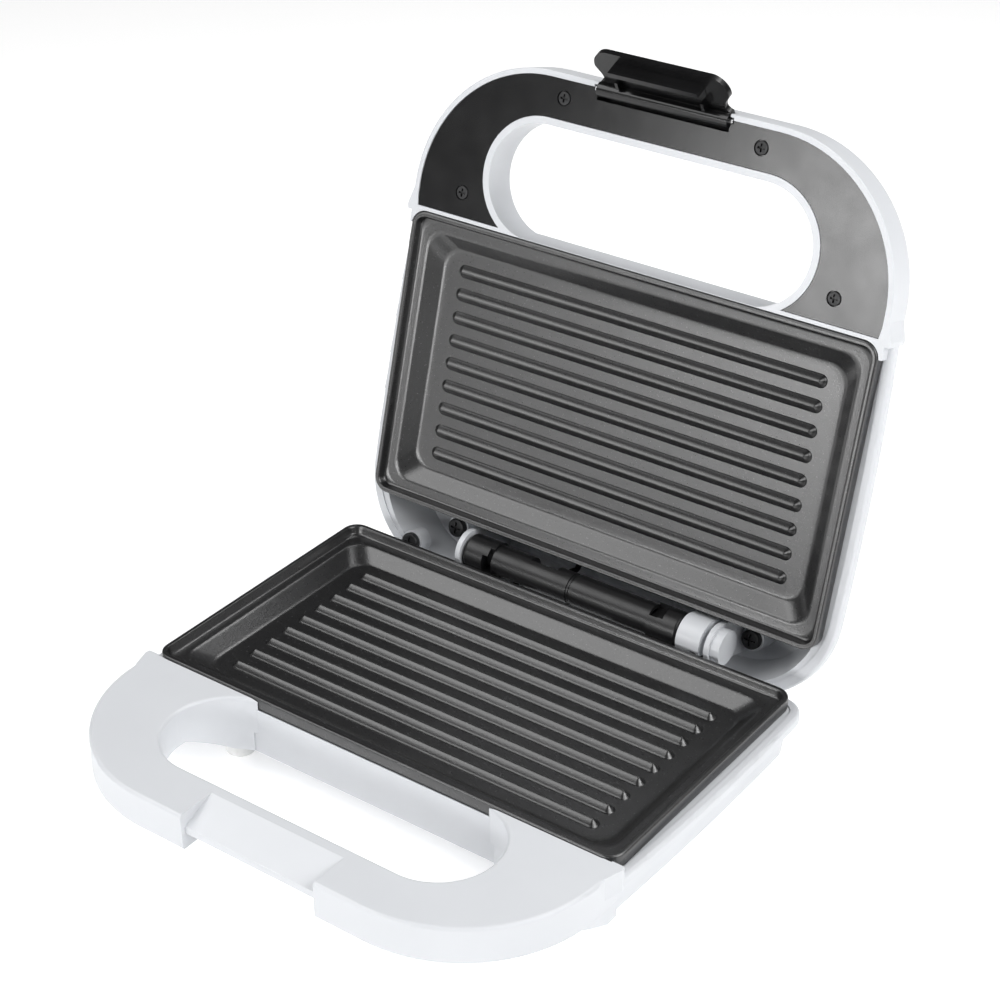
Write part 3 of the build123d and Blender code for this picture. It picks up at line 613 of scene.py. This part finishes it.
@dataclass
class GrillPlate:
    """A dished, ribbed plate of cast aluminium.

    Everything is worked out for the lower plate, and the upper one is its mirror image in the
    parting plane, opened about the lid's hinge.
    """

    lid: Hinge
    corner: float = 7.0 * MM
    floor_corner: float = 9.0 * MM
    skirt: float = 6.0 * MM
    lip_top: float = 2.2 * MM
    lip_foot: float = 3.2 * MM
    band_drop: float = 3.95 * MM
    band_in: float = 7.9 * MM
    floor_drop: float = 9.45 * MM
    floor_in: float = 14.2 * MM
    skin: float = 2.3 * MM
    lip_gap: float = 0.5 * MM
    ribs: int = 9
    rib_pitch: float = 10.5 * MM
    rib_length: float = 182.0 * MM
    rib_width: float = 5.2 * MM
    rib_height: float = 2.5 * MM
    rib_flare: float = 0.35 * MM
    rib_root: float = 0.4 * MM
    rib_rings: int = 11
    spine_share: float = 0.997
    soft: float = 1.1 * MM
    edge: float = 0.7 * MM
    draft: float = 0.25 * MM
    under_in: float = 5.4 * MM
    floor_rim: float = 3.0 * MM
    under_set: float = 2.5 * MM
    lip_closing: float = 0.9
    lip_fall: float = 0.2
    corner_points: int = 10
    side_points: int = 14
    rib_end_points: int = 9
    rib_side_points: int = 3
    bend_steps: int = 4

    def __post_init__(self) -> None:
        """Take the outline from the lower plate's node."""
        low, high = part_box("lower_grill_plate")
        self.half_x = (high.x - low.x) / 2
        self.half_y = (high.y - low.y) / 2
        self.centre = np.array([(high.x + low.x) / 2, (high.y + low.y) / 2, high.z])

    def loop(self, inset: float) -> np.ndarray:
        """Carry the plate's outline inwards.

        Across the lip the corner radius falls by a fixed share of the inset; further in it
        runs evenly from the outer corner's radius to the floor's.

        Args:
            inset: Distance inwards from the plate's edge.

        Returns:
            The loop's points, shape (points, 2).
        """
        share = min(inset / self.floor_in, 1.0)
        radius = self.corner + share * (self.floor_corner - self.corner)
        if inset <= self.lip_foot:
            radius = self.corner - inset * self.lip_closing
        half_x, half_y = self.half_x - inset, self.half_y - inset
        return rounded_loop(half_x, half_y, radius, self.corner_points, self.side_points)

    def dish(self) -> np.ndarray:
        """Rings of the dish: a profile (inset, height) carried round the plate's outline.

        The profile runs from the floor up the slope, over the band and the lip, down the skirt
        and back under the floor.

        Returns:
            The rings, shape (rings, points, 3).
        """
        underside = -self.floor_drop - self.skin
        corners = np.array(
            [
                (self.floor_in + self.floor_rim, -self.floor_drop),
                (self.floor_in, -self.floor_drop),
                (self.band_in, -self.band_drop),
                (self.lip_foot, -self.band_drop),
                (self.lip_top, -self.draft * self.lip_fall),
                (self.lip_top - self.edge, 0.0),
                (0.0, 0.0),
                (0.0, -self.skirt),
                (self.under_in, -self.skirt - self.draft),
                (self.floor_in - self.under_set, underside),
                (self.floor_in + self.floor_rim, underside),
            ]
        )
        profile = soften(corners, self.soft, self.bend_steps)
        rings = []
        for inset, height in profile:
            ring = self.loop(inset)
            rings.append(np.column_stack([ring, np.full(len(ring), height)]))
        return np.stack(rings)

    def rib(self, y: float) -> np.ndarray:
        """Rings of one rib: stadium loops that shrink to its spine.

        At a share s of the rib's height the loop's half width is w * (1 - s)^(2/3), so the
        flanks are nearly straight under a rounded spine; a small flare is added at the foot.

        Args:
            y: The rib's place across the plate, from its centre.

        Returns:
            The rings, shape (rings, points, 3).
        """
        half = self.rib_width / 2
        straight = self.rib_length / 2 - half
        share = np.sin(np.linspace(0.0, math.pi / 2, self.rib_rings))
        widths = half * (1.0 - self.spine_share * share) ** (2 / 3)
        widths[0] += self.rib_flare
        heights = self.rib_height * share
        widths = np.concatenate([[widths[0]], widths])
        heights = np.concatenate([[-self.rib_root], heights])
        rings = []
        for width, height in zip(widths, heights):
            loop = rounded_loop(
                straight + width, width + HAIR, width, self.rib_end_points, self.rib_side_points
            )
            z = np.full(len(loop), height - self.floor_drop)
            rings.append(np.column_stack([loop[:, 0], loop[:, 1] + y, z]))
        return np.stack(rings)

    def surfaces(self, upper: bool) -> list[Surface]:
        """All surfaces of one plate, in place.

        Args:
            upper: Whether this is the lid's plate.

        Returns:
            (vertices, faces) of the dish and of each rib.
        """
        start = -(self.ribs - 1) / 2 * self.rib_pitch
        shapes = [self.dish()]
        shapes += [self.rib(start + number * self.rib_pitch) for number in range(self.ribs)]
        placed = []
        for number, rings in enumerate(shapes):
            rings = rings + self.centre
            if upper:
                rings[..., 2] = 2 * self.centre[2] + self.lip_gap - rings[..., 2]
                rings = turned(rings, self.lid.point, -self.lid.reach)
                rings = rings[:, ::-1]
            placed.append(closed_rings(rings[:, ::-1] if number == 0 else rings))
        return placed

    def build(self, paint: Paintbox) -> None:
        """Make both plates and put them in place of their nodes.

        Args:
            paint: Gives the coating.
        """
        for upper, body in ((False, Body.BASE), (True, Body.LID)):
            node = "upper_grill_plate" if upper else "lower_grill_plate"
            piece = make_piece(node + "_cast", self.surfaces(upper))
            paint.coat(piece, Finish.COATING)
            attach(piece, body.value)
            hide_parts(node)
            log.info("%s: %d faces", piece.name, len(piece.data.polygons))


@dataclass
class Carried:
    """The nodes whose own shape is shown, each with its finish."""

    finishes: dict[Finish, tuple[str, ...]] = field(
        default_factory=lambda: {
            Finish.WHITE: (
                "base_housing",
                "base_handle_cover",
                "base_bottom_cover",
                "lid_housing",
                "terminal_block",
            ),
            Finish.BLACK: (
                "handle_cover",
                "latch",
            ),
            Finish.GRAINED: (
                "hinge_barrel_left",
                "hinge_barrel_right",
                "hinge_bracket_left",
                "hinge_bracket_right",
                "cord_inlet_bush",
            ),
            Finish.DARK_SCREW: ("handle_cover_screws", "lid_hinge_screws"),
            Finish.ZINC_SCREW: (
                "base_handle_screws",
                "base_cover_screws",
                "lower_plate_screws",
                "upper_plate_screws",
                "hinge_bracket_screws",
            ),
            Finish.PLAIN_STEEL: ("hinge_pins", "latch_pin"),
            Finish.HEATER: ("lower_heating_element", "upper_heating_element"),
            Finish.REFLECTOR: ("lower_reflector", "upper_reflector"),
            Finish.BRASS: ("thermostat", "thermal_fuse"),
            Finish.FOOT: ("feet",),
            Finish.SLEEVE: ("base_wiring", "lid_wiring", "lamp_holder"),
            Finish.RED: ("power_lamp_lens",),
            Finish.GREEN: ("ready_lamp_lens",),
        }
    )

    def dress(self, paint: Paintbox) -> None:
        """Coat every carried node."""
        for finish, nodes in self.finishes.items():
            for node in nodes:
                paint.coat(frame["nodes"][node], finish)
            log.info("%s: %s", finish.name.lower(), ", ".join(nodes))


# ---------------------------------------------------------------- camera and studio
def bearing(azimuth: float, elevation: float) -> Vector:
    """Turn a bearing into a unit vector.

    Args:
        azimuth: Degrees from the front, positive to the right.
        elevation: Degrees above the floor.

    Returns:
        The direction from the aim towards that bearing.
    """
    a, e = math.radians(azimuth), math.radians(elevation)
    return Vector((math.sin(a) * math.cos(e), -math.cos(a) * math.cos(e), math.sin(e)))


def facing(aim: Vector, back: Vector, distance: float) -> Matrix:
    """Place a camera or a light so that it looks at a point.

    Args:
        aim: The point looked at.
        back: Unit vector from the point towards the camera or light.
        distance: How far off it stands.

    Returns:
        Its world matrix.
    """
    turn = back.to_track_quat("Z", "Y").to_matrix().to_4x4()
    return Matrix.Translation(aim + back * distance) @ turn


@dataclass
class Viewpoint:
    """The camera: a long lens looking down at the open press from its right front."""

    azimuth: float = 36.106
    elevation: float = 30.472
    roll: float = -0.048
    lens: float = 80.24
    distance: float = 890.919 * MM
    aim_left: float = 3.112 * MM
    aim_ahead: float = 40.0 * MM
    aim_up: float = 68.118 * MM
    sensor: float = 36.0
    nearest: float = 10.0 * MM

    def build(self) -> Vector:
        """Make the camera.

        Returns:
            The point that it looks at.
        """
        _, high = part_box("lower_grill_plate")
        aim = Vector((-self.aim_left, high.y - self.aim_ahead, high.z + self.aim_up))
        back = bearing(self.azimuth, self.elevation)
        data = bpy.data.cameras.new("camera")
        data.lens = self.lens
        data.sensor_width = self.sensor
        data.clip_start = self.nearest
        camera = bpy.data.objects.new("camera", data)
        spin = Matrix.Rotation(math.radians(self.roll), 4, "Z")
        camera.matrix_world = facing(aim, back, self.distance) @ spin
        bpy.context.scene.collection.objects.link(camera)
        bpy.context.scene.camera = camera
        return aim


@dataclass(frozen=True)
class Softbox:
    """One rectangular area light, placed round the press by angle."""

    name: str
    azimuth: float
    elevation: float
    distance: float
    width: float
    height: float
    power: float

    def build(self, aim: Vector) -> None:
        """Hang the light so that it faces the aim.

        Args:
            aim: The point that it shines at.
        """
        data = bpy.data.lights.new(self.name, "AREA")
        data.shape = "RECTANGLE"
        data.size = self.width
        data.size_y = self.height
        data.energy = self.power
        lamp = bpy.data.objects.new(self.name, data)
        lamp.matrix_world = facing(aim, bearing(self.azimuth, self.elevation), self.distance)
        lamp.visible_camera = False
        bpy.context.scene.collection.objects.link(lamp)


@dataclass
class Studio:
    """A plain pale floor under soft light from all round."""

    floor_half: float = 6.0
    floor_drop: float = 0.2 * MM
    floor_colour: tuple[float, float, float] = (0.92, 0.92, 0.92)
    floor_roughness: float = 0.7
    floor_glow: float = 0.32
    horizon: float = 0.25
    zenith: float = 0.06
    ceiling_from: float = 0.4
    softboxes: tuple[Softbox, ...] = (
        Softbox("key_softbox", -50.0, 50.0, 1.7, 1.4, 1.1, 14.0),
        Softbox("back_softbox", 165.0, 62.0, 1.7, 1.4, 0.5, 12.0),
        Softbox("cover_softbox", -11.0, 8.0, 2.0, 1.2, 0.36, 15.0),
        Softbox("fill_softbox", 75.0, 38.0, 1.8, 1.2, 1.0, 14.0),
        Softbox("right_softbox", 100.0, 35.0, 1.7, 0.8, 1.0, 9.0),
    )

    def floor(self) -> None:
        """Lay the floor just under the feet: z is the same all over the square."""
        low, _ = CAD_BOX
        step = np.array([(-1, -1), (1, -1), (1, 1), (-1, 1)], float) * self.floor_half
        points = np.column_stack([step, np.full(4, low[2] - self.floor_drop)])
        mesh = bpy.data.meshes.new("studio_floor")
        mesh.from_pydata(points.tolist(), [], [(0, 1, 2, 3)])
        ground = bpy.data.objects.new("studio_floor", mesh)
        bpy.context.scene.collection.objects.link(ground)
        shader = Shader("pale_floor")
        shader.put(Roughness=self.floor_roughness, Emission_Strength=self.floor_glow)
        shader.surface.inputs["Emission Color"].default_value = WHITE_LIGHT
        shader.surface.inputs["Base Color"].default_value = (*self.floor_colour, 1.0)
        mesh.materials.append(shader.material)

    def sky(self) -> bpy.types.World:
        """Make the surround: white light, strongest at the horizon and weakest overhead.

        Returns:
            The world.
        """
        world = bpy.data.worlds.new("studio_sky")
        world.use_nodes = True
        tree = world.node_tree
        direction = tree.nodes.new("ShaderNodeTexCoord").outputs["Generated"]
        split = tree.nodes.new("ShaderNodeSeparateXYZ")
        fade = tree.nodes.new("ShaderNodeMapRange")
        fade.interpolation_type = "SMOOTHSTEP"
        fade.inputs["From Min"].default_value = 0.0
        fade.inputs["From Max"].default_value = self.ceiling_from
        fade.inputs["To Min"].default_value = self.horizon
        fade.inputs["To Max"].default_value = self.zenith
        tree.links.new(direction, split.inputs["Vector"])
        tree.links.new(split.outputs["Z"], fade.inputs["Value"])
        tree.links.new(fade.outputs["Result"], tree.nodes["Background"].inputs["Strength"])
        tree.nodes["Background"].inputs["Color"].default_value = WHITE_LIGHT
        return world

    def build(self, aim: Vector) -> None:
        """Make the sky, the lights and the floor.

        Args:
            aim: The point that the lights shine at.
        """
        scene = bpy.context.scene
        scene.world = self.sky()
        scene.view_settings.view_transform = "Standard"
        scene.view_settings.look = "None"
        for softbox in self.softboxes:
            softbox.build(aim)
        self.floor()
        log.info("studio: %d softboxes", len(self.softboxes))


def main() -> None:
    """Build the camera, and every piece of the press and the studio."""
    logging.basicConfig(level=logging.INFO, format="%(name)s: %(message)s")
    aim = Viewpoint().build()
    paint = Paintbox()
    GrillPlate(Hinge("lid_hinge")).build(paint)
    Carried().dress(paint)
    Studio().build(aim)


if __name__ == "__main__":
    main()
